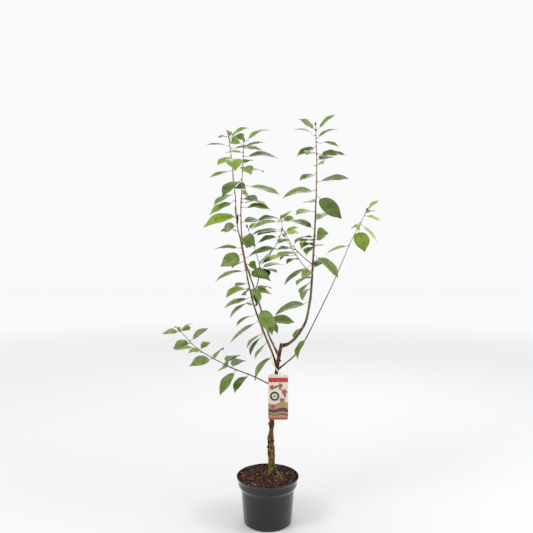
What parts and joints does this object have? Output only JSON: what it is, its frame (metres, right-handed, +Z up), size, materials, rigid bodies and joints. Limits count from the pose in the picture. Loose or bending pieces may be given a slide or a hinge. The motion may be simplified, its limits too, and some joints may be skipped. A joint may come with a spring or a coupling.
{
  "type": "young sweet cherry tree in a nursery pot",
  "caption": "Slender young sweet cherry tree with upright leafy shoots on a short stem, standing in a round black nursery pot of bark compost, with a plain hang tag.",
  "frame": {"origin": "centre of the pot's flat underside, on the floor it stands on", "axes": "+Z up, -Y the front that the picture shows, +X to the right seen from the front"},
  "size_m": [0.818, 0.4379, 1.505],
  "materials": {
    "pot_plastic": "satin",
    "compost": "matte",
    "bark": "matte",
    "shoot_bark": "satin",
    "leaves": "satin",
    "tag_card": "satin",
    "tag_tie": "satin"
  },
  "bodies": {
    "root": {"bough_left_inner": "shoot_bark", "bough_left_outer": "shoot_bark", "bough_lower_left": "shoot_bark", "bough_middle_back": "shoot_bark", "bough_middle_front": "shoot_bark", "bough_right": "shoot_bark", "bough_right_thin": "shoot_bark", "leaf_right_thin_low": "leaves", "leaves_left_inner_1": "leaves", "leaves_left_inner_2": "leaves", "leaves_left_inner_3": "leaves", "leaves_left_inner_4": "leaves", "leaves_left_outer_1": "leaves", "leaves_left_outer_2": "leaves", "leaves_left_outer_3": "leaves", "leaves_left_outer_4": "leaves", "leaves_lower_left_1": "leaves", "leaves_lower_left_2": "leaves", "leaves_middle_back_1": "leaves", "leaves_middle_back_2": "leaves", "leaves_middle_front_1": "leaves", "leaves_right_1": "leaves", "leaves_right_2": "leaves", "leaves_right_3": "leaves", "leaves_right_4": "leaves", "leaves_right_5": "leaves", "leaves_right_thin_1": "leaves", "pot": "pot_plastic", "soil": "compost", "tag": "tag_card", "tag_loop": "tag_tie", "trunk": "bark"}
  },
  "joints": []
}
